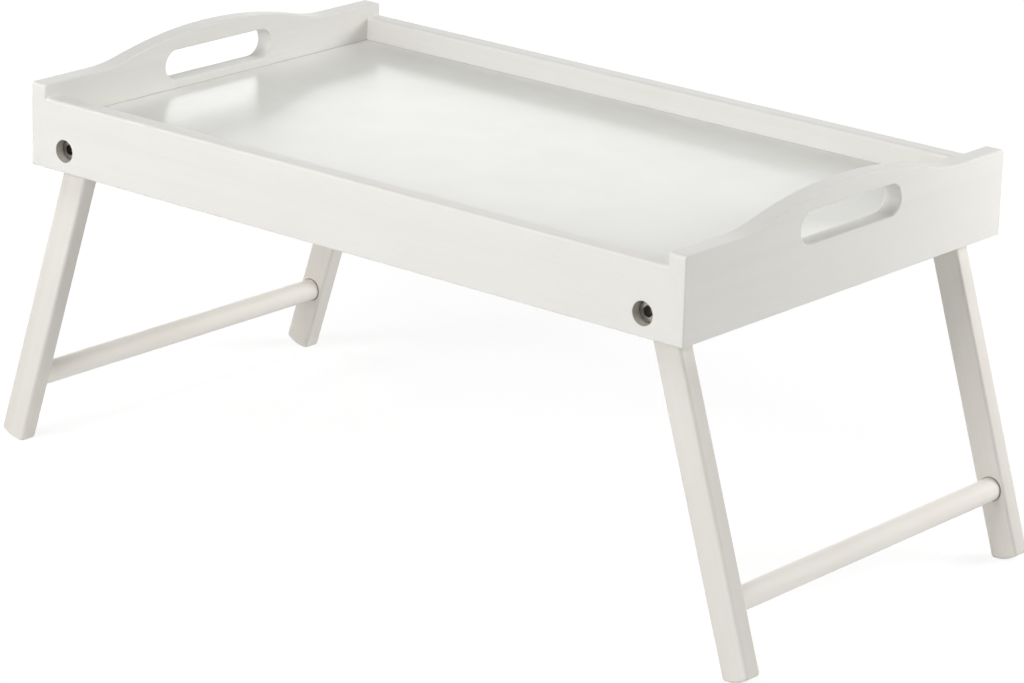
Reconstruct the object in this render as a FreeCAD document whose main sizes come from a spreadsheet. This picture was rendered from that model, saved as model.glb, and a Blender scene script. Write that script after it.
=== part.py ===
"""Folding bed tray table: a rimmed wooden tray on two U-shaped leg frames.

Frame of the part: origin on the floor at the middle of the tray, +X along its
length to the right, +Y to the back, +Z up.  It stands with its legs splayed
outwards; each leg frame turns about two shoulder bolts in the long rails.
All sizes are in millimetres and degrees.
"""
import FreeCAD, Part
import math
import os
import re

import Sketcher

Vector = FreeCAD.Vector

document = FreeCAD.newDocument("BedTrayTable")

TOUCH = 0.01  # edges nearer than this to a plane or limit count as on it

# ---------------------------------------------------------------- sizes ----

SIZES = {
    # tray box
    "tray_length": 500.0,
    "tray_depth": 300.0,
    "board_thickness": 12.0,
    "lip_height": 15.0,            # rail top above the panel
    "rail_edge_radius": 2.0,       # rounding of the rail's two top edges
    "under_edge_radius": 1.0,      # softening of the edges underneath
    "corner_rise": 8.0,            # end board's corners above the rails
    "crown_rise": 13.0,            # end board's crown above its corners
    "shoulder_run": 46.0,          # level part at each end of the end board's top
    "hollow_radius": 100.0,        # hollow curve between shoulder and crown
    "end_corner_radius": 2.5,      # end board's corners, seen from the side
    "end_edge_radius": 1.0,        # rounding of the end board's edges
    # handle slot in each end board
    "slot_length": 94.0,
    "slot_height": 19.0,
    "slot_rise": 5.3,              # slot's lower edge above the panel
    "slot_edge_radius": 1.0,
    # panel, held in grooves
    "panel_thickness": 4.0,
    "groove_depth": 5.0,
    "groove_edge_play": 0.3,
    "groove_height_play": 0.2,
    # corner dowels, two at each corner
    "dowel_diameter": 6.0,
    "dowel_length": 14.0,
    "dowel_chamfer": 0.5,
    "dowel_edge_distance": 7.0,    # from the rail's top and from its underside
    "dowel_hole_play": 0.1,
    "dowel_end_play": 0.25,
    # pivots
    "counterbore_play": 1.0,       # on the diameter, round the bolt's head
    "counterbore_depth": 8.0,
    "bolt_head_diameter": 13.0,
    "bolt_head_height": 3.0,
    "bolt_head_edge_radius": 0.6,
    "bolt_shoulder_diameter": 8.0,
    "bolt_hole_play": 0.1,
    "bolt_thread_diameter": 6.0,
    "bolt_thread_length": 9.5,
    "socket_width": 6.0,           # hex socket, across the flats
    "socket_depth": 2.8,
    "pivot_side_play": 0.1,        # between head, rail, washer and leg
    "washer_diameter": 16.0,
    "washer_thickness": 1.5,
    "washer_bore_play": 0.3,
    "insert_diameter": 9.0,
    "insert_end_play": 0.5,        # insert beyond the bolt's end
    "insert_bore_play": 0.1,
    # legs
    "splay_angle": 17.5,
    "leg_width": 18.5,
    "leg_thickness": 12.0,
    "leg_edge_radius": 2.0,
    "heel_radius": 6.0,            # inner top corner, which swings under the panel
    "foot_radius": 24.0,
    "foot_corner_radius": 2.5,
    "leg_board_clearance": 2.0,    # open leg beside the end board
    "folded_underside_gap": 4.45,  # folded leg above the rail's underside
    "folded_panel_gap": 2.05,      # folded leg below the panel
    "folded_feet_gap": 23.0,       # between the feet of the two folded frames
    "stop_gap": 0.3,               # open leg's square top corner below the panel
    # rungs
    "rung_diameter": 14.0,
    "rung_edge_radius": 0.8,
    "rung_rise": 43.0,             # rung's axis above the foot, along the leg
    "tenon_diameter": 9.0,
    "tenon_length": 8.0,
    "tenon_play": 0.1,
    "tenon_end_play": 0.5,
}

# What fits or lines up with something else follows from the sizes above.
DERIVED = {
    "pivot_height": "folded_underside_gap + leg_width / 2",
    "panel_underside": "pivot_height + leg_width / 2 + folded_panel_gap",
    "panel_top": "panel_underside + panel_thickness",
    "rail_height": "panel_top + lip_height",
    "corner_height": "rail_height + corner_rise",
    "crown_height": "corner_height + crown_rise",
    "rail_length": "tray_length - 2 * board_thickness",
    "groove_height": "panel_thickness + groove_height_play",
    "groove_end": "tray_depth / 2 - board_thickness + groove_depth",
    "panel_length": "rail_length + 2 * (groove_depth - groove_edge_play)",
    "panel_depth": "2 * (groove_end - groove_edge_play)",
    "slot_centre": "panel_top + slot_rise + slot_height / 2",
    "dowel_high": "rail_height - dowel_edge_distance",
    "dowel_hole_diameter": "dowel_diameter + dowel_hole_play",
    "dowel_hole_depth": "dowel_length / 2 + dowel_end_play",
    "pivot_inset": "board_thickness + leg_board_clearance + pivot_height * tan(splay_angle)"
                   " + leg_width / 2 / cos(splay_angle)",
    "pivot_x": "tray_length / 2 - pivot_inset",
    "counterbore_diameter": "bolt_head_diameter + counterbore_play",
    "insert_length": "bolt_thread_length + insert_end_play",
    "shoulder_length": "board_thickness - counterbore_depth + washer_thickness"
                       " + 3 * pivot_side_play",
    "leg_face": "board_thickness + washer_thickness + 2 * pivot_side_play",
    "leg_length": "tray_length / 2 - pivot_inset - folded_feet_gap / 2",
    "leg_top": "(leg_width / 2 + folded_panel_gap - stop_gap"
               " - leg_width / 2 * sin(splay_angle)) / cos(splay_angle)",
    "rung_drop": "leg_length - rung_rise",
    "rung_length": "tray_depth - 2 * (leg_face + leg_thickness)",
    "tray_height": "(leg_length - foot_radius) * cos(splay_angle) + foot_radius - pivot_height",
}

sheet = document.addObject("Spreadsheet::Sheet", "Sizes")


def fill_sheet():
    """Write every size, then every derived size, into the sheet under its own name."""
    rows = {name: str(value) for name, value in SIZES.items()}
    rows.update({name: "=" + formula for name, formula in DERIVED.items()})
    for row, (name, text) in enumerate(rows.items(), start=1):
        sheet.set(f"A{row}", name)
        sheet.set(f"B{row}", text)
        sheet.setAlias(f"B{row}", name)
    document.recompute()


fill_sheet()


def named(formula):
    """The formula with each size written as the sheet's own cell."""
    known = SIZES.keys() | DERIVED.keys()
    return re.sub(r"[a-z_]+", lambda word: f"Sizes.{word[0]}" if word[0] in known else word[0],
                  formula)


def value(formula):
    """The present value of a formula of sizes."""
    return float(sheet.evalExpression(named(formula)))


# ------------------------------------------------------ sketch and feature ----

def new_body(name):
    body = document.addObject("PartDesign::Body", name)
    body.Label = name
    return body


def new_sketch(body, name, role, offset=None):
    """A sketch on one of the body's origin planes, or at an offset along its normal."""
    sketch = body.newObject("Sketcher::SketchObject", f"{body.Name}_{name}")
    plane = next(item for item in body.Origin.OriginFeatures if item.Role == role)
    sketch.AttachmentSupport = [(plane, "")]
    sketch.MapMode = "FlatFace"
    if offset is not None:
        sketch.setExpression("AttachmentOffset.Base.z", named(offset))
    return sketch


def limit(sketch, kind, formula, *where):
    """A dimension of the sketch that follows a formula of sizes."""
    index = sketch.addConstraint(Sketcher.Constraint(kind, *where, value(formula)))
    sketch.setExpression(f"Constraints[{index}]", named(formula))


def pin(sketch, item, point, across, up):
    """Fix a point of the sketch at (across, up) from the sketch's origin."""
    for kind, formula, axis in (("DistanceX", across, -2), ("DistanceY", up, -1)):
        if formula == "0":
            sketch.addConstraint(Sketcher.Constraint("PointOnObject", item, point, axis))
        else:
            limit(sketch, kind, formula, -1, 1, item, point)


def add_line(sketch, start, end):
    """A line and the numbers of its first and last point."""
    line = Part.LineSegment(Vector(*start), Vector(*end))
    return sketch.addGeometry(line, False), 1, 2


def add_arc(sketch, centre, radius, first, last):
    """An arc from one angle to the other, and the numbers of its first and last point."""
    low, high = sorted((math.radians(first), math.radians(last)))
    circle = Part.Circle(Vector(*centre), Vector(0, 0, 1), radius)
    item = sketch.addGeometry(Part.ArcOfCircle(circle, low, high), False)
    return (item, 1, 2) if first < last else (item, 2, 1)


def join(sketch, before, after, smooth):
    """Let one piece of an outline run into the next, smoothly or at a corner."""
    kind = "Tangent" if smooth else "Coincident"
    sketch.addConstraint(Sketcher.Constraint(kind, before[0], before[2], after[0], after[1]))


def add_circle(sketch, diameter, across, up):
    circle = Part.Circle(Vector(value(across), value(up)), Vector(0, 0, 1), value(diameter) / 2)
    item = sketch.addGeometry(circle, False)
    limit(sketch, "Diameter", diameter, item)
    pin(sketch, item, 3, across, up)


def add_polygon(sketch, corners):
    """A closed outline of straight lines between pinned corners (across, up)."""
    points = [(value(across), value(up)) for across, up in corners]
    lines = []
    for number, start in enumerate(points):
        lines.append(add_line(sketch, start, points[(number + 1) % len(points)]))
    for number, line in enumerate(lines):
        join(sketch, lines[number - 1], line, smooth=False)
        pin(sketch, line[0], 1, *corners[number])


def add_rectangle(sketch, left, bottom, right, top):
    add_polygon(sketch, [(left, bottom), (right, bottom), (right, top), (left, top)])


def new_feature(body, kind, name, sketch, length=None, side="One side", reverse=False):
    """A Pad or Pocket of a sketch, as deep as a formula says or through all."""
    feature = body.newObject(f"PartDesign::{kind}", f"{body.Name}_{name}")
    feature.Profile = sketch
    feature.SideType = side
    feature.Reversed = reverse
    if length is None:
        feature.Type = "ThroughAll"
    else:
        feature.setExpression("Length", named(length))
    document.recompute()
    return feature


def turn(body, kind, name, sketch, axis):
    """A full revolution of a sketch about one of its own axes."""
    feature = body.newObject(f"PartDesign::{kind}", f"{body.Name}_{name}")
    feature.Profile = sketch
    feature.ReferenceAxis = (sketch, [axis])
    feature.Angle = 360.0
    document.recompute()
    return feature


def mirror(body, name, features, role):
    """Repeat features on the other side of one of the body's origin planes."""
    plane = next(item for item in body.Origin.OriginFeatures if item.Role == role)
    copy = body.newObject("PartDesign::Mirrored", f"{body.Name}_{name}")
    copy.Originals = features
    copy.MirrorPlane = (plane, [""])
    body.Tip = copy
    document.recompute()
    return copy


def dress(body, kind, name, base, size, wanted):
    """Round ('Fillet') or chamfer ('Chamfer') those edges of the base that are wanted."""
    names = [f"Edge{i}" for i, edge in enumerate(base.Shape.Edges, start=1) if wanted(edge)]
    feature = body.newObject(f"PartDesign::{kind}", f"{body.Name}_{name}")
    feature.Base = (base, names)
    feature.setExpression("Radius" if kind == "Fillet" else "Size", named(size))
    document.recompute()
    return feature


def lies_within(edge, axis, low, high):
    """Whether the whole edge keeps that coordinate from low to high."""
    box = edge.BoundBox
    return (getattr(box, axis + "Min") > low - TOUCH
            and getattr(box, axis + "Max") < high + TOUCH)


def lies_at(edge, axis, level):
    """Whether the whole edge lies in the plane where that coordinate is level."""
    return lies_within(edge, axis, level, level)


def place(body, across, back, up, turned="0", tilted="0"):
    """Put the body in the part's frame, tilted about its Y axis, then turned about Z."""
    spin = f"rotation(vector(0; 0; 1); {named(turned)})"
    tilt = f"rotation(vector(0; 1; 0); {named(tilted)})"
    spot = f"vector({named(across)}; {named(back)}; {named(up)})"
    body.setExpression("Placement", f"placement({spot}; {spin} * {tilt})")


# ------------------------------------------------------------ long rails ----

def make_rail(name):
    """A long rail: outer face on y = 0, inner face towards +y, underside on z = 0."""
    body = new_body(name)
    profile = new_sketch(body, "profile", "YZ_Plane")
    thick, tall = value("board_thickness"), value("rail_height")
    top, under = value("rail_edge_radius"), value("under_edge_radius")
    bottom = add_line(profile, (under, 0), (thick - under, 0))
    inner_under = add_arc(profile, (thick - under, under), under, -90, 0)
    inner = add_line(profile, (thick, under), (thick, tall - top))
    inner_top = add_arc(profile, (thick - top, tall - top), top, 0, 90)
    crest = add_line(profile, (thick - top, tall), (top, tall))
    outer_top = add_arc(profile, (top, tall - top), top, 90, 180)
    outer = add_line(profile, (0, tall - top), (0, under))
    outer_under = add_arc(profile, (under, under), under, 180, 270)
    loop = [bottom, inner_under, inner, inner_top, crest, outer_top, outer, outer_under]
    for before, after in zip(loop, loop[1:] + loop[:1]):
        join(profile, before, after, smooth=True)
    for upright in (outer, inner):
        profile.addConstraint(Sketcher.Constraint("Vertical", upright[0]))
    for level in (bottom, crest):
        profile.addConstraint(Sketcher.Constraint("Horizontal", level[0]))
    profile.addConstraint(Sketcher.Constraint("PointOnObject", bottom[0], 1, -1))
    profile.addConstraint(Sketcher.Constraint("PointOnObject", outer[0], 1, -2))
    profile.addConstraint(Sketcher.Constraint("Equal", outer_top[0], inner_top[0]))
    profile.addConstraint(Sketcher.Constraint("Equal", outer_under[0], inner_under[0]))
    limit(profile, "Radius", "rail_edge_radius", outer_top[0])
    limit(profile, "Radius", "under_edge_radius", outer_under[0])
    limit(profile, "DistanceX", "board_thickness", -1, 1, inner[0], 1)
    limit(profile, "DistanceY", "rail_height", -1, 1, crest[0], 1)
    new_feature(body, "Pad", "board", profile, "rail_length", side="Symmetric")

    groove = new_sketch(body, "groove_outline", "YZ_Plane")
    add_rectangle(groove, "board_thickness - groove_depth", "panel_underside",
                  "board_thickness", "panel_underside + groove_height")
    new_feature(body, "Pocket", "groove", groove, "rail_length", side="Symmetric")

    pivots = new_sketch(body, "pivot_centres", "XZ_Plane")
    add_circle(pivots, "bolt_shoulder_diameter + bolt_hole_play", "pivot_x", "pivot_height")
    add_circle(pivots, "bolt_shoulder_diameter + bolt_hole_play", "-pivot_x", "pivot_height")
    new_feature(body, "Pocket", "pivot_holes", pivots)

    seats = new_sketch(body, "counterbore_outline", "XZ_Plane")
    add_circle(seats, "counterbore_diameter", "pivot_x", "pivot_height")
    add_circle(seats, "counterbore_diameter", "-pivot_x", "pivot_height")
    new_feature(body, "Pocket", "counterbores", seats, "counterbore_depth")

    ends = new_sketch(body, "dowel_centres", "YZ_Plane", offset="rail_length / 2")
    for height in ("dowel_edge_distance", "dowel_high"):
        add_circle(ends, "dowel_hole_diameter", "board_thickness / 2", height)
    holes = new_feature(body, "Pocket", "dowel_holes", ends, "dowel_hole_depth")
    mirror(body, "dowel_holes_left", [holes], "YZ_Plane")
    return body


place(make_rail("front_rail"), "0", "-tray_depth / 2", "tray_height")
place(make_rail("back_rail"), "0", "tray_depth / 2", "tray_height", turned="180")


# ------------------------------------------------------------ end boards ----

def draw_end_outline(sketch):
    """The end board seen from the side: level shoulders, hollows and a long crown."""
    half, corner = value("tray_depth / 2"), value("corner_height")
    crown, soft = value("crown_height"), value("end_corner_radius")
    run, rise = value("tray_depth / 2 - shoulder_run"), value("crown_rise")
    hollow = value("hollow_radius")
    slope = 2 * math.degrees(math.atan2(rise, run))
    bend = run / math.sin(math.radians(slope)) - hollow
    shoulder = half - value("shoulder_run")

    bottom = add_line(sketch, (-half, 0), (half, 0))
    back = add_line(sketch, (half, 0), (half, corner - soft))
    back_corner = add_arc(sketch, (half - soft, corner - soft), soft, 0, 90)
    back_level = add_line(sketch, (half - soft, corner), (shoulder, corner))
    back_hollow = add_arc(sketch, (shoulder, corner + hollow), hollow, 270, 270 - slope)
    arch = add_arc(sketch, (0, crown - bend), bend, 90 - slope, 90 + slope)
    front_hollow = add_arc(sketch, (-shoulder, corner + hollow), hollow, 270 + slope, 270)
    front_level = add_line(sketch, (-shoulder, corner), (soft - half, corner))
    front_corner = add_arc(sketch, (soft - half, corner - soft), soft, 90, 180)
    front = add_line(sketch, (-half, corner - soft), (-half, 0))
    join(sketch, front, bottom, smooth=False)
    join(sketch, bottom, back, smooth=False)
    loop = [back, back_corner, back_level, back_hollow, arch,
            front_hollow, front_level, front_corner, front]
    for before, after in zip(loop, loop[1:]):
        join(sketch, before, after, smooth=True)

    pin(sketch, bottom[0], 1, "-tray_depth / 2", "0")
    pin(sketch, bottom[0], 2, "tray_depth / 2", "0")
    for upright in (back, front):
        sketch.addConstraint(Sketcher.Constraint("Vertical", upright[0]))
    for level in (back_level, front_level):
        sketch.addConstraint(Sketcher.Constraint("Horizontal", level[0]))
    sketch.addConstraint(Sketcher.Constraint("Equal", back_corner[0], front_corner[0]))
    sketch.addConstraint(Sketcher.Constraint("Equal", back_hollow[0], front_hollow[0]))
    sketch.addConstraint(Sketcher.Constraint("PointOnObject", arch[0], 3, -2))
    limit(sketch, "Radius", "end_corner_radius", back_corner[0])
    limit(sketch, "Radius", "hollow_radius", back_hollow[0])
    limit(sketch, "DistanceX", "tray_depth / 2 - shoulder_run", -1, 1, back_level[0], 2)
    limit(sketch, "DistanceX", "shoulder_run - tray_depth / 2", -1, 1, front_level[0], 1)
    limit(sketch, "DistanceY", "corner_height", -1, 1, back_level[0], 2)
    crest = sketch.addGeometry(Part.Point(Vector(0, crown)), True)
    pin(sketch, crest, 1, "0", "crown_height")
    sketch.addConstraint(Sketcher.Constraint("PointOnObject", crest, 1, arch[0]))


def add_slot(sketch):
    """A round-ended slot about the middle of the board."""
    reach = value("slot_length / 2 - slot_height / 2")
    radius, middle = value("slot_height / 2"), value("slot_centre")
    top = add_line(sketch, (reach, middle + radius), (-reach, middle + radius))
    left = add_arc(sketch, (-reach, middle), radius, 90, 270)
    bottom = add_line(sketch, (-reach, middle - radius), (reach, middle - radius))
    right = add_arc(sketch, (reach, middle), radius, -90, 90)
    loop = [top, left, bottom, right]
    for before, after in zip(loop, loop[1:] + loop[:1]):
        join(sketch, before, after, smooth=True)
    sketch.addConstraint(Sketcher.Constraint("Horizontal", top[0]))
    limit(sketch, "Radius", "slot_height / 2", right[0])
    pin(sketch, right[0], 3, "slot_length / 2 - slot_height / 2", "slot_centre")
    pin(sketch, left[0], 3, "slot_height / 2 - slot_length / 2", "slot_centre")


def make_end_board(name):
    """An end board: outer face on x = 0, inner face towards +x, y from its middle."""
    body = new_body(name)
    outline = new_sketch(body, "outline", "YZ_Plane")
    draw_end_outline(outline)
    board = new_feature(body, "Pad", "board", outline, "board_thickness")
    inner_face = value("board_thickness")

    def on_a_face(edge):
        return lies_at(edge, "X", 0) or lies_at(edge, "X", inner_face)

    rounded = dress(body, "Fillet", "rounding", board, "end_edge_radius",
                    lambda edge: on_a_face(edge) and not lies_at(edge, "Z", 0))
    dress(body, "Fillet", "underside_softening", rounded, "under_edge_radius",
          lambda edge: lies_at(edge, "Z", 0) and lies_at(edge, "X", 0))

    # The inner edges stay square where the rails meet them.
    square = new_sketch(body, "rail_seats", "XY_Plane")
    for near, far in (("-tray_depth / 2", "end_edge_radius - tray_depth / 2"),
                      ("tray_depth / 2 - end_edge_radius", "tray_depth / 2")):
        add_rectangle(square, "board_thickness - end_edge_radius", near,
                      "board_thickness", far)
    new_feature(body, "Pad", "square_edges", square, "rail_height - end_edge_radius")

    slot = new_sketch(body, "slot_outline", "YZ_Plane", offset="board_thickness")
    add_slot(slot)
    cut = new_feature(body, "Pocket", "handle_slot", slot)
    reach = value("slot_length / 2")
    low, high = value("slot_centre - slot_height / 2"), value("slot_centre + slot_height / 2")
    dress(body, "Fillet", "slot_rounding", cut, "slot_edge_radius",
          lambda edge: on_a_face(edge) and lies_within(edge, "Y", -reach, reach)
          and lies_within(edge, "Z", low, high))

    groove = new_sketch(body, "groove_outline", "YZ_Plane", offset="board_thickness")
    add_rectangle(groove, "-groove_end", "panel_underside",
                  "groove_end", "panel_underside + groove_height")
    new_feature(body, "Pocket", "groove", groove, "groove_depth")

    seats = new_sketch(body, "dowel_centres", "YZ_Plane", offset="board_thickness")
    for across in ("tray_depth / 2 - board_thickness / 2", "board_thickness / 2 - tray_depth / 2"):
        for height in ("dowel_edge_distance", "dowel_high"):
            add_circle(seats, "dowel_hole_diameter", across, height)
    new_feature(body, "Pocket", "dowel_holes", seats, "dowel_hole_depth")
    return body


place(make_end_board("left_end_board"), "-tray_length / 2", "0", "tray_height")
place(make_end_board("right_end_board"), "tray_length / 2", "0", "tray_height", turned="180")


# ----------------------------------------------------------------- panel ----

def make_panel():
    """The thin bottom panel, loose in the grooves of rails and end boards."""
    body = new_body("tray_panel")
    outline = new_sketch(body, "outline", "XY_Plane")
    add_rectangle(outline, "-panel_length / 2", "-panel_depth / 2",
                  "panel_length / 2", "panel_depth / 2")
    new_feature(body, "Pad", "sheet", outline, "panel_thickness")
    return body


place(make_panel(), "0", "0", "tray_height + panel_underside")


# --------------------------------------------------------- corner dowels ----

def make_dowel_pair(name):
    """Two wooden dowels, one above the other, half in the rail and half in the board."""
    body = new_body(name)
    centres = new_sketch(body, "centres", "YZ_Plane")
    for height in ("dowel_edge_distance", "dowel_high"):
        add_circle(centres, "dowel_diameter", "0", height)
    pins = new_feature(body, "Pad", "pins", centres, "dowel_length", side="Symmetric")
    dress(body, "Chamfer", "end_chamfers", pins, "dowel_chamfer",
          lambda edge: edge.Curve.TypeId == "Part::GeomCircle")
    return body


for row, sign in (("front", "-"), ("back", "")):
    for side, way in (("left", "-"), ("right", "")):
        pair = make_dowel_pair(f"corner_dowels_{row}_{side}")
        place(pair, f"{way}rail_length / 2", f"{sign}(tray_depth / 2 - board_thickness / 2)",
              "tray_height")


# ------------------------------------------------------------------ legs ----

def draw_leg_outline(sketch):
    """A leg from the front: pivot at the origin, foot below, outer edge on the left."""
    half, top = value("leg_width / 2"), value("leg_top")
    heel, toe = value("heel_radius"), value("foot_corner_radius")
    sole, length = value("foot_radius"), value("leg_length")
    middle = sole - length
    lean = math.degrees(math.asin((half - toe) / (sole - toe)))
    drop = middle - (sole - toe) * math.cos(math.radians(lean))

    crest = add_line(sketch, (half - heel, top), (-half, top))
    outer = add_line(sketch, (-half, top), (-half, drop))
    outer_toe = add_arc(sketch, (toe - half, drop), toe, 180, 270 - lean)
    foot = add_arc(sketch, (0, middle), sole, 270 - lean, 270 + lean)
    inner_toe = add_arc(sketch, (half - toe, drop), toe, -90 + lean, 0)
    inner = add_line(sketch, (half, drop), (half, top - heel))
    inner_heel = add_arc(sketch, (half - heel, top - heel), heel, 0, 90)
    join(sketch, crest, outer, smooth=False)
    loop = [outer, outer_toe, foot, inner_toe, inner, inner_heel, crest]
    for before, after in zip(loop, loop[1:]):
        join(sketch, before, after, smooth=True)

    pin(sketch, outer[0], 1, "-leg_width / 2", "leg_top")
    for upright in (outer, inner):
        sketch.addConstraint(Sketcher.Constraint("Vertical", upright[0]))
    sketch.addConstraint(Sketcher.Constraint("Horizontal", crest[0]))
    sketch.addConstraint(Sketcher.Constraint("Equal", outer_toe[0], inner_toe[0]))
    limit(sketch, "Radius", "heel_radius", inner_heel[0])
    limit(sketch, "Radius", "foot_corner_radius", outer_toe[0])
    limit(sketch, "Radius", "foot_radius", foot[0])
    limit(sketch, "DistanceX", "leg_width / 2", -1, 1, inner[0], 1)
    pin(sketch, foot[0], 3, "0", "foot_radius - leg_length")


def make_leg(name, inward):
    """A leg: face towards the rail on y = 0, thickness towards y = inward."""
    body = new_body(name)
    outline = new_sketch(body, "outline", "XZ_Plane")
    draw_leg_outline(outline)
    board = new_feature(body, "Pad", "board", outline, "leg_thickness", reverse=inward > 0)
    far_face = inward * value("leg_thickness")
    dress(body, "Fillet", "edge_rounding", board, "leg_edge_radius",
          lambda edge: lies_at(edge, "Y", 0) or lies_at(edge, "Y", far_face))

    near = new_sketch(body, "insert_centre", "XZ_Plane")
    add_circle(near, "insert_diameter", "0", "0")
    new_feature(body, "Pocket", "insert_hole", near, "insert_length", reverse=inward < 0)

    side = "" if inward < 0 else "-"
    far = new_sketch(body, "tenon_centre", "XZ_Plane", offset=f"{side}leg_thickness")
    add_circle(far, "tenon_diameter + tenon_play", "0", "-rung_drop")
    new_feature(body, "Pocket", "tenon_hole", far, "tenon_length + tenon_end_play",
                reverse=inward > 0)
    return body


# ------------------------------------------------------------ round rungs ----

def make_rung(name):
    """A turned rung along y, its middle on the origin, with a tenon at each end."""
    body = new_body(name)
    section = new_sketch(body, "half_section", "YZ_Plane")
    shoulder, tip = "rung_length / 2", "rung_length / 2 + tenon_length"
    add_polygon(section, [(f"-({tip})", "0"), (tip, "0"), (tip, "tenon_diameter / 2"),
                          (shoulder, "tenon_diameter / 2"), (shoulder, "rung_diameter / 2"),
                          (f"-({shoulder})", "rung_diameter / 2"),
                          (f"-({shoulder})", "tenon_diameter / 2"),
                          (f"-({tip})", "tenon_diameter / 2")])
    rod = turn(body, "Revolution", "rod", section, "H_Axis")
    reach, bore = value(shoulder), value("tenon_diameter / 2")
    dress(body, "Fillet", "shoulder_rounding", rod, "rung_edge_radius",
          lambda edge: (lies_at(edge, "Y", reach) or lies_at(edge, "Y", -reach))
          and not lies_within(edge, "Z", -bore, bore))
    return body


# ---------------------------------------------- pivot bolts and hardware ----

def make_bolt(name):
    """A shoulder bolt along +y: underside of its head on y = 0, head towards -y."""
    body = new_body(name)
    section = new_sketch(body, "half_section", "YZ_Plane")
    end = "shoulder_length + bolt_thread_length"
    add_polygon(section, [("-bolt_head_height", "0"), (end, "0"),
                          (end, "bolt_thread_diameter / 2"),
                          ("shoulder_length", "bolt_thread_diameter / 2"),
                          ("shoulder_length", "bolt_shoulder_diameter / 2"),
                          ("0", "bolt_shoulder_diameter / 2"),
                          ("0", "bolt_head_diameter / 2"),
                          ("-bolt_head_height", "bolt_head_diameter / 2")])
    turned = turn(body, "Revolution", "shank", section, "H_Axis")
    top = -value("bolt_head_height")
    dress(body, "Fillet", "head_rounding", turned, "bolt_head_edge_radius",
          lambda edge: lies_at(edge, "Y", top))

    socket = new_sketch(body, "socket_outline", "XZ_Plane", offset="bolt_head_height")
    corner, flat = "socket_width / 2 / cos(30)", "socket_width / 2"
    add_polygon(socket, [(corner, "0"), (f"{corner} / 2", flat), (f"-{corner} / 2", flat),
                         (f"-{corner}", "0"), (f"-{corner} / 2", f"-{flat}"),
                         (f"{corner} / 2", f"-{flat}")])
    new_feature(body, "Pocket", "hex_socket", socket, "socket_depth")
    return body


def make_ring(name, outer, bore, length):
    """A ring along +y from y = 0: a washer, or a threaded insert."""
    body = new_body(name)
    circles = new_sketch(body, "circles", "XZ_Plane")
    add_circle(circles, outer, "0", "0")
    add_circle(circles, bore, "0", "0")
    new_feature(body, "Pad", "ring", circles, length, reverse=True)
    return body


# ------------------------------------------------------------ leg frames ----

for side, way, turned in (("left", "-", "0"), ("right", "", "180")):
    across = f"{way}pivot_x"
    pivot_up = "tray_height + pivot_height"
    for row, sign, facing in (("front", "-", "0"), ("back", "", "180")):
        # A right frame is the left one turned half round, so its front leg is a left back leg.
        inward = 1 if (row == "front") == (side == "left") else -1
        name = f"{side}_{row}"

        leg = make_leg(f"{name}_leg", inward)
        place(leg, across, f"{sign}(tray_depth / 2 - leg_face)", pivot_up,
              turned=turned, tilted="splay_angle")
        bolt = make_bolt(f"{name}_pivot_bolt")
        place(bolt, across,
              f"{sign}(tray_depth / 2 - counterbore_depth + pivot_side_play)", pivot_up,
              turned=facing, tilted="splay_angle")
        washer = make_ring(f"{name}_washer", "washer_diameter",
                           "bolt_shoulder_diameter + washer_bore_play", "washer_thickness")
        place(washer, across, f"{sign}(tray_depth / 2 - board_thickness - pivot_side_play)",
              pivot_up, turned=facing)
        insert = make_ring(f"{name}_threaded_insert", "insert_diameter",
                           "bolt_thread_diameter + insert_bore_play", "insert_length")
        place(insert, across, f"{sign}(tray_depth / 2 - leg_face)", pivot_up, turned=facing)

    rung = make_rung(f"{side}_rung")
    place(rung, f"{way}(pivot_x + rung_drop * sin(splay_angle))", "0",
          "tray_height + pivot_height - rung_drop * cos(splay_angle)")


# ------------------------------------------------------- check and export ----

def export_parts():
    """Stop at any failed object or bad shape; otherwise write one file for each body."""
    document.recompute()
    for item in document.Objects:
        if "Invalid" in item.State or "Error" in item.State:
            raise RuntimeError(f"{item.Name}: {item.State}")
        if item.TypeId == "Sketcher::SketchObject" and not item.FullyConstrained:
            raise RuntimeError(f"{item.Name} is not fully constrained")
    bodies = [item for item in document.Objects if item.TypeId == "PartDesign::Body"]
    for body in bodies:
        if body.Shape.isNull() or not body.Shape.isValid():
            raise RuntimeError(f"{body.Label}: bad shape")
    os.makedirs("parts", exist_ok=True)
    for body in bodies:
        body.Shape.exportStep(f"parts/{body.Label}.step")
        box = body.Shape.BoundBox
        print(f"{body.Label}: {len(body.Shape.Solids)} solid(s), {body.Shape.Volume:.0f} mm3,"
              f" x {box.XMin:.2f}..{box.XMax:.2f}, y {box.YMin:.2f}..{box.YMax:.2f},"
              f" z {box.ZMin:.2f}..{box.ZMax:.2f}")


export_parts()
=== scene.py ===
import math

import bpy
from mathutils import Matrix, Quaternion, Vector


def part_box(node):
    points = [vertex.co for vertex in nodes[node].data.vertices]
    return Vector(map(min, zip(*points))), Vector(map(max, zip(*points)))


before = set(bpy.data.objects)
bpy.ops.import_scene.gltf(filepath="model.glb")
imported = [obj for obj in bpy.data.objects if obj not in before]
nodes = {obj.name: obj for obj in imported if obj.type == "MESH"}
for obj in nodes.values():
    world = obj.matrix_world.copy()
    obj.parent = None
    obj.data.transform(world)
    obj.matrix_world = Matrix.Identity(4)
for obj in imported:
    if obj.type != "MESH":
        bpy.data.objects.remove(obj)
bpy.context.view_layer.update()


# ---------------------------------------------------------------------------
# Rim of the tray: two long rails with bullnosed tops butt between two shaped
# end boards.  Solid wood, sanded and sprayed with satin off-white lacquer, so
# the grain only just telegraphs through as faint, long, shallow streaks.
# ---------------------------------------------------------------------------

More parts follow.
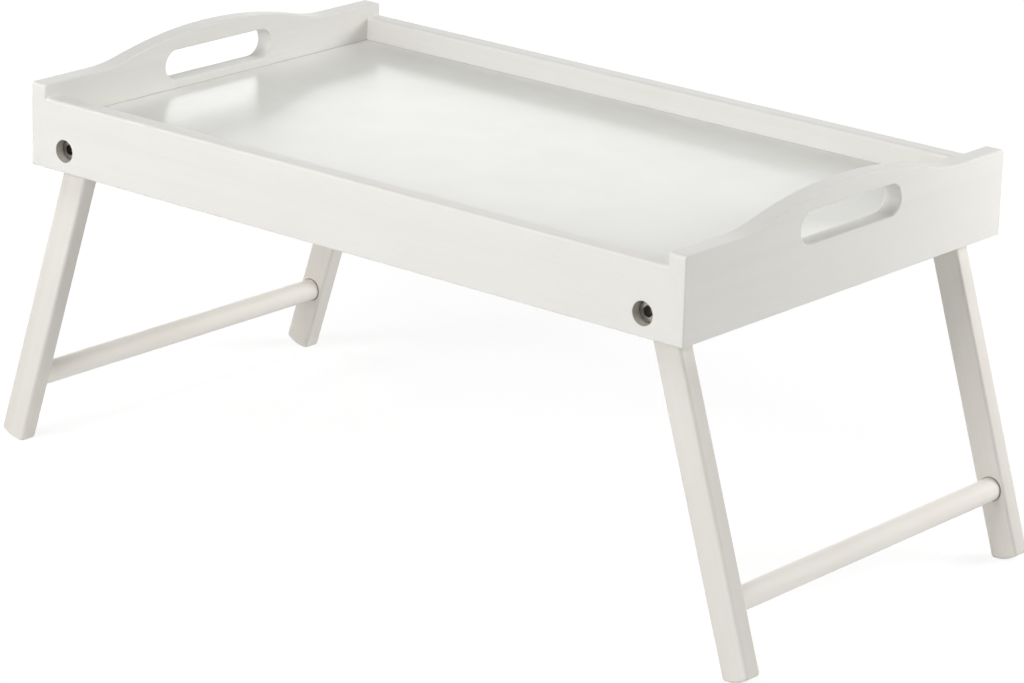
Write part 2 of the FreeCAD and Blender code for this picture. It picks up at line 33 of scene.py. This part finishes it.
RIM_WHITE = "#EBEAE5"
RIM_WHITE_DEEP = "#E8E6E1"      # where the coat lies thinner along the grain
LACQUER_IOR = 1.48
LACQUER_ROUGHNESS = 0.37        # at its least
LACQUER_DULLING = 0.14          # times the grain and patches, added to it
GRAIN_LENGTH = 0.090            # metres along the grain before a streak changes
GRAIN_WIDTH = 0.0011            # metres across one streak, coarser than real pores so it shows
GRAIN_DEPTH = 0.00006           # metres that the streaks stand proud under the coat
BAND_SCALE = 0.11               # bands of growth, about nine times the size of a streak
CLOUD_SIZE = 0.060              # soft patches where one pass of the spray overlaps the next
CLOUD_SHARE = 0.4               # how much the patches add to the grain
COAT_THIN, COAT_FULL = 0.52, 0.88   # grain and patches together, where the coat is thin and full
ORANGE_PEEL = 0.0009            # metres between the lacquer's tiny ripples
ORANGE_PEEL_DEPTH = 0.00003
LACQUER_RELIEF = 0.25           # share of both depths that the lacquer lets through
COUNTERBORE_WALL_GREY = "#C4BEB5"            # a darker warm grey on the walls of the counterbores
COUNTERBORE_EDGE = 0.0072       # metres from a bolt's middle: just outside the counterbore's wall


def linear(hex_colour):
    """An sRGB hex colour as linear red, green, blue and alpha."""
    channels = [int(hex_colour[i:i + 2], 16) / 255 for i in (1, 3, 5)]
    return [c / 12.92 if c <= 0.04045 else ((c + 0.055) / 1.055) ** 2.4 for c in channels] + [1.0]


def add_node(tree, kind, inputs=None, **settings):
    """Add a shader node, set its properties, then set or link its inputs by name or number."""
    node = tree.nodes.new(kind)
    for name, setting in settings.items():
        setattr(node, name, setting)
    for socket, source in (inputs or {}).items():
        if isinstance(source, bpy.types.NodeSocket):
            tree.links.new(source, node.inputs[socket])
        else:
            node.inputs[socket].default_value = source
    return node


def new_material(name):
    """An empty material, its node tree and its output node."""
    material = bpy.data.materials.new(name)
    material.use_nodes = True
    material.node_tree.nodes.clear()
    return material, material.node_tree, add_node(material.node_tree, "ShaderNodeOutputMaterial")


def ramp(tree, source, low, high, low_colour, high_colour):
    """A colour ramp from one colour at low to another at high."""
    node = add_node(tree, "ShaderNodeValToRGB", {"Fac": source})
    node.color_ramp.elements[0].position = low
    node.color_ramp.elements[0].color = low_colour
    node.color_ramp.elements[1].position = high
    node.color_ramp.elements[1].color = high_colour
    return node.outputs["Color"]


def round_fitting(tree, place, middle, radius, paint, inner_colour, along=0):
    """The paint, but another colour round the middle of a fitting and of its mirror images.

    With along=0 the place is a cylinder along Y, and with along=1 a ball."""
    folded = add_node(tree, "ShaderNodeVectorMath", {0: place},
                      operation="ABSOLUTE").outputs["Vector"]
    flat = add_node(tree, "ShaderNodeVectorMath", {0: folded, 1: (1, along, 1)},
                    operation="MULTIPLY").outputs["Vector"]
    away = add_node(tree, "ShaderNodeVectorMath",
                    {0: flat, 1: (abs(middle.x), along * abs(middle.y), middle.z)},
                    operation="DISTANCE").outputs["Value"]
    inside = add_node(tree, "ShaderNodeMath", {0: away, 1: radius},
                      operation="LESS_THAN").outputs["Value"]
    return add_node(tree, "ShaderNodeMix", {0: inside, 6: paint, 7: linear(inner_colour)},
                    data_type="RGBA").outputs[2]


def lacquered_wood(name, colour, deep, grain, lean=0.0, streak=0.5, bolt=None, rung=None):
    """Satin lacquer over wood whose grain runs along an axis ('X', 'Y' or 'Z'), leaning about Y."""
    material, tree, output = new_material(name)
    place = add_node(tree, "ShaderNodeTexCoord").outputs["Object"]
    upright = add_node(tree, "ShaderNodeMapping",
                       {"Vector": place, "Rotation": (0, lean, 0)},
                       vector_type="TEXTURE").outputs["Vector"]
    along, across = 1 / GRAIN_LENGTH, 1 / GRAIN_WIDTH
    scale = [along if axis == grain else across for axis in "XYZ"]
    stretched = add_node(tree, "ShaderNodeVectorMath", {0: upright, 1: scale},
                         operation="MULTIPLY").outputs["Vector"]
    streaks = add_node(tree, "ShaderNodeTexNoise",
                       {"Vector": stretched, "Scale": 1.0, "Detail": 3.0, "Roughness": 0.55})
    wide = add_node(tree, "ShaderNodeVectorMath", {0: stretched, 1: [BAND_SCALE] * 3},
                    operation="MULTIPLY").outputs["Vector"]
    bands = add_node(tree, "ShaderNodeTexNoise",
                     {"Vector": wide, "Scale": 1.0, "Detail": 2.0, "Roughness": 0.5})
    clouds = add_node(tree, "ShaderNodeTexNoise",
                      {"Vector": place, "Scale": 1 / CLOUD_SIZE, "Detail": 2.0, "Roughness": 0.4})
    fine = add_node(tree, "ShaderNodeMath", {0: streaks.outputs["Fac"], 1: streak},
                    operation="MULTIPLY").outputs["Value"]
    mixed = add_node(tree, "ShaderNodeMath", {0: bands.outputs["Fac"], 1: 1 - streak, 2: fine},
                     operation="MULTIPLY_ADD").outputs["Value"]
    patchy = add_node(tree, "ShaderNodeMath", {0: clouds.outputs["Fac"], 1: CLOUD_SHARE, 2: mixed},
                      operation="MULTIPLY_ADD").outputs["Value"]
    paint = ramp(tree, patchy, COAT_THIN, COAT_FULL, linear(deep), linear(colour))
    if bolt:
        # the walls of the counterbores a darker warm grey
        paint = round_fitting(tree, place, bolt, COUNTERBORE_EDGE, paint, COUNTERBORE_WALL_GREY)
    if rung:
        # a thin ring of painted shadow, with glue, round a rung's end
        paint = round_fitting(tree, place, rung, RUNG_SEAM_EDGE, paint, RUNG_SEAM_SHADOW, along=1)
    ripples = add_node(tree, "ShaderNodeTexNoise",
                       {"Vector": place, "Scale": 1 / ORANGE_PEEL, "Detail": 1.0})
    gloss = add_node(tree, "ShaderNodeMath", {0: patchy, 1: LACQUER_DULLING, 2: LACQUER_ROUGHNESS},
                     operation="MULTIPLY_ADD").outputs["Value"]
    relief = add_node(tree, "ShaderNodeBump", {"Height": mixed, "Strength": LACQUER_RELIEF,
                                               "Distance": GRAIN_DEPTH}).outputs["Normal"]
    skin = add_node(tree, "ShaderNodeBump", {"Height": ripples.outputs["Fac"], "Normal": relief,
                                             "Strength": LACQUER_RELIEF,
                                             "Distance": ORANGE_PEEL_DEPTH})
    surface = add_node(tree, "ShaderNodeBsdfPrincipled",
                       {"Base Color": paint, "Roughness": gloss, "IOR": LACQUER_IOR,
                        "Normal": skin.outputs["Normal"]})
    tree.links.new(surface.outputs["BSDF"], output.inputs["Surface"])
    return material


def finish_node(name, material):
    """Give a CAD node its finish."""
    nodes[name].material_slots[0].material = material


low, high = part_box("right_front_pivot_bolt")
bolt_middle = (Vector(low) + Vector(high)) / 2
rail_paint = lacquered_wood("satin_lacquer_on_rails", RIM_WHITE, RIM_WHITE_DEEP, grain="X",
                            bolt=bolt_middle)
for name in ("front_rail", "back_rail"):
    finish_node(name, rail_paint)

board_paint = lacquered_wood("satin_lacquer_on_end_boards", RIM_WHITE, RIM_WHITE_DEEP, grain="Y")
for name in ("left_end_board", "right_end_board"):
    finish_node(name, board_paint)


# ---------------------------------------------------------------------------
# Panel: a thin sheet that floats in the grooves.  Fibreboard with a smooth
# rolled coat: whiter and glossier than the rim, with broad soft mottling.
# ---------------------------------------------------------------------------

PANEL_WHITE = "#EBEBE7"
PANEL_WHITE_DEEP = "#E8E8E3"
PANEL_ROUGHNESS = 0.21          # at its least
PANEL_DULLING = 0.04            # times the mottling, added to it
MOTTLE_SIZE = 0.045             # metres across one patch of the mottling
MOTTLE_THIN, MOTTLE_FULL = 0.35, 0.65   # mottling, where the coat is thin and full
ROLLER_STIPPLE = 0.0016         # metres between the roller's marks
STIPPLE_DEPTH = 0.00003
STIPPLE_RELIEF = 0.2


def rolled_paint(name):
    """Rolled satin paint on fibreboard: soft mottling, a stipple and no grain."""
    material, tree, output = new_material(name)
    place = add_node(tree, "ShaderNodeTexCoord").outputs["Object"]
    mottle = add_node(tree, "ShaderNodeTexNoise",
                      {"Vector": place, "Scale": 1 / MOTTLE_SIZE, "Detail": 3.0, "Roughness": 0.55})
    stipple = add_node(tree, "ShaderNodeTexNoise",
                       {"Vector": place, "Scale": 1 / ROLLER_STIPPLE, "Detail": 2.0})
    paint = ramp(tree, mottle.outputs["Fac"], MOTTLE_THIN, MOTTLE_FULL,
                 linear(PANEL_WHITE_DEEP), linear(PANEL_WHITE))
    gloss = add_node(tree, "ShaderNodeMath",
                     {0: mottle.outputs["Fac"], 1: PANEL_DULLING, 2: PANEL_ROUGHNESS},
                     operation="MULTIPLY_ADD").outputs["Value"]
    skin = add_node(tree, "ShaderNodeBump", {"Height": stipple.outputs["Fac"],
                                             "Strength": STIPPLE_RELIEF,
                                             "Distance": STIPPLE_DEPTH})
    surface = add_node(tree, "ShaderNodeBsdfPrincipled",
                       {"Base Color": paint, "Roughness": gloss, "IOR": LACQUER_IOR,
                        "Normal": skin.outputs["Normal"]})
    tree.links.new(surface.outputs["BSDF"], output.inputs["Surface"])
    return material


finish_node("tray_panel", rolled_paint("rolled_satin_paint_on_fibreboard"))


# ---------------------------------------------------------------------------
# Corner dowels: chamfered beech pins glued half into a rail and half into an
# end board.  Bare, warm and matt, with fine brown flecks along the grain.
# ---------------------------------------------------------------------------

BEECH = "#D2A878"
BEECH_FLECK = "#A87748"
BEECH_ROUGHNESS = 0.62
BEECH_FLECK_LENGTH = 0.004      # metres along the grain
BEECH_FLECK_WIDTH = 0.0003
BEECH_FLECK_DEPTH = 0.00008
BEECH_RELIEF = 0.4
FLECK_BROWN, FLECK_CLEAR = 0.36, 0.50   # noise below the first is fleck, above the second is not


def bare_beech(name):
    """Unpainted beech with its grain along X."""
    material, tree, output = new_material(name)
    place = add_node(tree, "ShaderNodeTexCoord").outputs["Object"]
    scale = (1 / BEECH_FLECK_LENGTH, 1 / BEECH_FLECK_WIDTH, 1 / BEECH_FLECK_WIDTH)
    stretched = add_node(tree, "ShaderNodeVectorMath", {0: place, 1: scale},
                         operation="MULTIPLY").outputs["Vector"]
    flecks = add_node(tree, "ShaderNodeTexNoise", {"Vector": stretched, "Scale": 1.0,
                                                   "Detail": 2.0}).outputs["Fac"]
    wood = ramp(tree, flecks, FLECK_BROWN, FLECK_CLEAR, linear(BEECH_FLECK), linear(BEECH))
    relief = add_node(tree, "ShaderNodeBump", {"Height": flecks, "Strength": BEECH_RELIEF,
                                               "Distance": BEECH_FLECK_DEPTH})
    surface = add_node(tree, "ShaderNodeBsdfPrincipled",
                       {"Base Color": wood, "Roughness": BEECH_ROUGHNESS,
                        "Normal": relief.outputs["Normal"]})
    tree.links.new(surface.outputs["BSDF"], output.inputs["Surface"])
    return material


beech = bare_beech("bare_beech")
for row in ("front", "back"):
    for side in ("left", "right"):
        finish_node(f"corner_dowels_{row}_{side}", beech)


# ---------------------------------------------------------------------------
# Legs: flat sticks with softened edges and rounded feet, one pair at each end.
# Same lacquer as the rim in a thinner coat, so the wood warms it a little and
# streaks run down each leg, which leans outwards when the table stands.
# ---------------------------------------------------------------------------

LEG_WHITE = "#E9E6E0"
LEG_WHITE_DEEP = "#E3DED6"
LEG_STREAKS = 0.35              # share of fine streaks against wide bands
SPLAY = math.radians(17.5)
RUNG_SEAM_SHADOW = "#A1988E"           # painted shadow, with glue, in the fine gap where a rung enters a leg
RUNG_SEAM_EDGE = 0.0076         # metres from the rung's axis: its radius and the gap

rung_middle = (Vector(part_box("right_rung")[0]) + Vector(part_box("right_rung")[1])) / 2
rung_middle.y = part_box("right_front_leg")[1][1]     # where the rung enters, on the leg's inner face
for side, lean in (("left", SPLAY), ("right", -SPLAY)):
    leg_paint = lacquered_wood(f"thin_satin_lacquer_on_{side}_legs", LEG_WHITE, LEG_WHITE_DEEP,
                               grain="Z", lean=lean, streak=LEG_STREAKS, rung=rung_middle)
    for row in ("front", "back"):
        finish_node(f"{side}_{row}_leg", leg_paint)


# ---------------------------------------------------------------------------
# Rungs: turned round bars tenoned into the legs.  The thinnest coat of all, so
# cream and faintly pink streaks of the wood show along each bar.  Their white is
# lighter than the rim's: painted light, to brighten bars that the lamps light too little.
# ---------------------------------------------------------------------------

# lighter than the rim's white: painted light on the rungs
RUNG_WHITE_WITH_PAINTED_LIGHT = "#F8F5EF"
RUNG_WHITE_DEEP = "#F0EAE2"
RUNG_STREAKS = 0.3

rung_paint = lacquered_wood("thin_satin_lacquer_on_rungs", RUNG_WHITE_WITH_PAINTED_LIGHT, RUNG_WHITE_DEEP,
                            grain="Y", streak=RUNG_STREAKS)
for side in ("left", "right"):
    finish_node(f"{side}_rung", rung_paint)


# ---------------------------------------------------------------------------
# Pivot bolts: turned and nickel-plated steel shoulder bolts with a hex socket.
# Grey, slightly warm plating with fine rings from the lathe, softened edges and
# a hex socket darkened with painted shade.  They screw into the legs and clamp them to the rails.
# ---------------------------------------------------------------------------

NICKEL = "#A3A19D"
NICKEL_SHADE = "#8E8C88"        # in the plating's duller blotches
NICKEL_ROUGHNESS = 0.20
BLOTCH_DENSITY = 350.0          # blotches to a metre
BLOTCH_DULLING = 0.06           # how much the roughness varies over them
BLOTCH_DULL, BLOTCH_BRIGHT = 0.35, 0.65     # blotches, where the plating is dull and bright
LATHE_RING = 0.00035            # metres; rings repeat at this times two pi
RINGS_TO_SCALE = 20             # the wave texture's own factor between its scale and its rings
RING_DEPTH = 0.00002
RING_RELIEF = 0.25
SOCKET_RADIUS = 0.0034          # metres from the bolt's axis: painted shade darkens the hex socket this far out
SOCKET_PAINTED_SHADE = "#6A6763"
BOLT_EDGE_RADIUS = 0.0011
BOLT_EDGE_STEPS = 4
SAME_CORNER = 0.00001           # corners of neighbouring faces nearer than this are joined first


def turned_metal(name, bright, shade, roughness, pitch, socket=False):
    """Metal turned about an axis along Y: fine rings along that axis, slightly blotchy plating."""
    material, tree, output = new_material(name)
    place = add_node(tree, "ShaderNodeTexCoord").outputs["Object"]
    rings = add_node(tree, "ShaderNodeTexWave",
                     {"Vector": place, "Scale": 1 / (RINGS_TO_SCALE * pitch),
                      "Distortion": 0.6, "Detail": 1.0},
                     bands_direction="Y").outputs["Fac"]
    blotches = add_node(tree, "ShaderNodeTexNoise", {"Vector": place, "Scale": BLOTCH_DENSITY,
                                                     "Detail": 3.0}).outputs["Fac"]
    plating = ramp(tree, blotches, BLOTCH_DULL, BLOTCH_BRIGHT, linear(shade), linear(bright))
    if socket:
        # painted shade in the hex socket, a dark recess
        plating = round_fitting(tree, place, bolt_middle, SOCKET_RADIUS, plating, SOCKET_PAINTED_SHADE)
    gloss = add_node(tree, "ShaderNodeMath",
                     {0: blotches, 1: BLOTCH_DULLING, 2: roughness - BLOTCH_DULLING / 2},
                     operation="MULTIPLY_ADD").outputs["Value"]
    relief = add_node(tree, "ShaderNodeBump", {"Height": rings, "Strength": RING_RELIEF,
                                               "Distance": RING_DEPTH})
    surface = add_node(tree, "ShaderNodeBsdfPrincipled",
                       {"Base Color": plating, "Metallic": 1.0, "Roughness": gloss,
                        "Normal": relief.outputs["Normal"]})
    tree.links.new(surface.outputs["BSDF"], output.inputs["Surface"])
    return material


nickel = turned_metal("nickel_plated_steel", NICKEL, NICKEL_SHADE, NICKEL_ROUGHNESS, LATHE_RING,
                      socket=True)
corners = [f"{side}_{row}" for side in ("left", "right") for row in ("front", "back")]
for corner in corners:
    bolt = nodes[f"{corner}_pivot_bolt"]
    finish_node(bolt.name, nickel)
    joined = bolt.modifiers.new("joined_corners", "WELD")
    joined.merge_threshold = SAME_CORNER
    rounding = bolt.modifiers.new("rounded_edges", "BEVEL")
    rounding.width = BOLT_EDGE_RADIUS
    rounding.segments = BOLT_EDGE_STEPS
    rounding.limit_method = "ANGLE"


# ---------------------------------------------------------------------------
# Threaded inserts: turned brass bushes pressed into the legs for the bolts.
# Hidden in use; plain yellow brass, slightly dull.
# ---------------------------------------------------------------------------

BRASS = "#D9B96C"
BRASS_SHADE = "#B8934A"
BRASS_ROUGHNESS = 0.34

brass = turned_metal("turned_brass", BRASS, BRASS_SHADE, BRASS_ROUGHNESS, LATHE_RING)
for corner in corners:
    finish_node(f"{corner}_threaded_insert", brass)


# ---------------------------------------------------------------------------
# Washers: punched nylon rings between rail and leg that let the legs turn
# quietly.  Milky, waxy white, a little see-through at their edges.
# ---------------------------------------------------------------------------

NYLON = "#EFEEE8"
NYLON_SHADE = "#E4E2DA"
NYLON_ROUGHNESS = 0.45
NYLON_SHINE_THROUGH = 0.15      # share of the light that goes under the surface
NYLON_LIGHT_DEPTH = 0.002       # metres that it goes
NYLON_GRAIN_DENSITY = 900.0     # grains to a metre
NYLON_GRAIN_DEPTH = 0.00003
NYLON_RELIEF = 0.2
NYLON_DULL, NYLON_BRIGHT = 0.3, 0.7     # grain, where the nylon is duller and brighter


def nylon(name):
    """Milky nylon with a faint moulded grain."""
    material, tree, output = new_material(name)
    place = add_node(tree, "ShaderNodeTexCoord").outputs["Object"]
    haze = add_node(tree, "ShaderNodeTexNoise", {"Vector": place, "Scale": NYLON_GRAIN_DENSITY,
                                                 "Detail": 2.0}).outputs["Fac"]
    milk = ramp(tree, haze, NYLON_DULL, NYLON_BRIGHT, linear(NYLON_SHADE), linear(NYLON))
    relief = add_node(tree, "ShaderNodeBump", {"Height": haze, "Strength": NYLON_RELIEF,
                                               "Distance": NYLON_GRAIN_DEPTH})
    surface = add_node(tree, "ShaderNodeBsdfPrincipled",
                       {"Base Color": milk, "Roughness": NYLON_ROUGHNESS,
                        "Subsurface Weight": NYLON_SHINE_THROUGH,
                        "Subsurface Radius": [NYLON_LIGHT_DEPTH] * 3, "Subsurface Scale": 1.0,
                        "Normal": relief.outputs["Normal"]})
    tree.links.new(surface.outputs["BSDF"], output.inputs["Surface"])
    return material


washer_nylon = nylon("white_nylon")
for corner in corners:
    finish_node(f"{corner}_washer", washer_nylon)


# ---------------------------------------------------------------------------
# Studio: a pale seamless floor, a white surround, and soft lamps all round: the
# strongest behind to the right, which leaves the right end board in half shade,
# wide ones in front and low on the left, and small weak ones close to the table.
# Five of them give no glare, which would burn out the panel in some low views.
# ---------------------------------------------------------------------------

FLOOR_REACH = 12.0              # metres from the middle to each edge
FLOOR_WHITE = (0.80, 0.80, 0.80, 1.0)       # the paper that lights the object from below
SHADOW_SHARE = (0.30, 0.30, 0.30, 1.0)      # what the camera and mirrors see of its real light
NEAR_GLOW, FAR_GLOW = 0.79, 1.0             # and what is added, so that it just reaches white
NEAR_EDGE, FAR_EDGE = 0.45, 1.5             # metres from the middle, between which the glow rises
TRAY_MIDDLE = (0, 0, 0.2)                   # what most lamps point at


def camera_or_mirror_ray(tree):
    """1 for what the camera sees directly, in gloss or metal, or through glass; 0 for other light."""
    rays = add_node(tree, "ShaderNodeLightPath").outputs
    either = add_node(tree, "ShaderNodeMath", {0: rays["Is Camera Ray"], 1: rays["Is Glossy Ray"]},
                      operation="MAXIMUM").outputs["Value"]
    return add_node(tree, "ShaderNodeMath", {0: either, 1: rays["Is Transmission Ray"]},
                    operation="MAXIMUM").outputs["Value"]


def studio_floor():
    """Pale paper that looks white and keeps the object's shadow."""
    bpy.ops.mesh.primitive_plane_add(size=2 * FLOOR_REACH)
    floor = bpy.context.object
    floor.name = "studio_floor"
    material, tree, output = new_material("pale_seamless_paper")
    place = add_node(tree, "ShaderNodeTexCoord").outputs["Object"]
    away = add_node(tree, "ShaderNodeVectorMath", {0: place}, operation="LENGTH").outputs["Value"]
    strength = add_node(tree, "ShaderNodeMapRange",
                        {"Value": away, "From Min": NEAR_EDGE, "From Max": FAR_EDGE,
                         "To Min": NEAR_GLOW, "To Max": FAR_GLOW}).outputs["Result"]
    paper = add_node(tree, "ShaderNodeBsdfDiffuse", {"Color": FLOOR_WHITE}).outputs["BSDF"]
    shown = add_node(tree, "ShaderNodeBsdfDiffuse", {"Color": SHADOW_SHARE}).outputs["BSDF"]
    glow = add_node(tree, "ShaderNodeEmission", {"Strength": strength}).outputs["Emission"]
    both = add_node(tree, "ShaderNodeAddShader", {0: shown, 1: glow}).outputs["Shader"]
    mix = add_node(tree, "ShaderNodeMixShader",
                   {0: camera_or_mirror_ray(tree), 1: paper, 2: both}).outputs["Shader"]
    tree.links.new(mix, output.inputs["Surface"])
    floor.data.materials.append(material)


def studio_world():
    """White to the camera and in gloss or metal; matt surfaces get light from the lamps alone."""
    world = bpy.data.worlds.new("studio_surround")
    bpy.context.scene.world = world
    world.use_nodes = True
    tree = world.node_tree
    tree.nodes.clear()
    white = add_node(tree, "ShaderNodeBackground",
                     {"Color": (1, 1, 1, 1), "Strength": camera_or_mirror_ray(tree)})
    output = add_node(tree, "ShaderNodeOutputWorld")
    tree.links.new(white.outputs["Background"], output.inputs["Surface"])


def softbox(name, place, aim, width, height, watts, glare=True):
    """A rectangular lamp at a place, aimed at a point; without glare no surface mirrors it."""
    lamp = bpy.data.lights.new(name, "AREA")
    lamp.shape = "RECTANGLE"
    lamp.size = width
    lamp.size_y = height
    lamp.energy = watts
    holder = bpy.data.objects.new(name, lamp)
    bpy.context.scene.collection.objects.link(holder)
    holder.location = place
    holder.visible_glossy = glare
    holder.rotation_euler = (Vector(aim) - Vector(place)).to_track_quat("-Z", "Y").to_euler()


studio_floor()
studio_world()
softbox("softbox_front_high", (0.0, -1.1, 1.9), TRAY_MIDDLE, 1.0, 1.0, 15.3)
softbox("softbox_front", (0.0, -2.19, 0.91), TRAY_MIDDLE, 1.2, 0.7, 13.3, glare=False)
softbox("softbox_front_right", (1.55, -1.55, 0.91), TRAY_MIDDLE, 1.2, 0.7, 7.5, glare=False)
softbox("softbox_near_front_left", (-0.9, -1.1, 0.55), (-0.25, -0.15, 0.2), 0.5, 0.5, 4.0)
softbox("softbox_low_left", (-2.28, 0.0, 0.52), TRAY_MIDDLE, 1.2, 0.6, 14.1)
softbox("softbox_low_back_left", (-1.61, 1.61, 0.52), TRAY_MIDDLE, 1.2, 0.6, 4.4)
softbox("softbox_back_right", (1.55, 1.55, 0.91), TRAY_MIDDLE, 1.2, 0.7, 26.5, glare=False)
softbox("softbox_near_back", (0.2, 0.6, 0.75), TRAY_MIDDLE, 0.3, 0.3, 1.0, glare=False)
softbox("softbox_near_back_right", (0.42, 0.30, 0.26), (0.25, 0.12, 0.22), 0.15, 0.15, 0.22,
        glare=False)

bpy.context.scene.view_settings.view_transform = "Standard"


# ---------------------------------------------------------------------------
# Camera: a long lens, a little above the tray, in front of its right end.  The
# picture is tipped by somewhat more than a degree and a half, as the real one is.
# ---------------------------------------------------------------------------

CAMERA_PLACE = Vector((1.5612, -1.8686, 0.9033))
CAMERA_AIM = Vector((-0.60724, 0.72997, -0.31370))
CAMERA_TIP = math.radians(1.67)
CAMERA_LENS = 149.9             # millimetres
SENSOR_WIDTH = 36.0             # millimetres

camera_data = bpy.data.cameras.new("studio_camera")
camera_data.lens = CAMERA_LENS
camera_data.sensor_width = SENSOR_WIDTH
camera = bpy.data.objects.new("studio_camera", camera_data)
bpy.context.scene.collection.objects.link(camera)
camera.location = CAMERA_PLACE
level = CAMERA_AIM.to_track_quat("-Z", "Y")
camera.rotation_euler = (level @ Quaternion((0, 0, 1), CAMERA_TIP)).to_euler()
bpy.context.scene.camera = camera
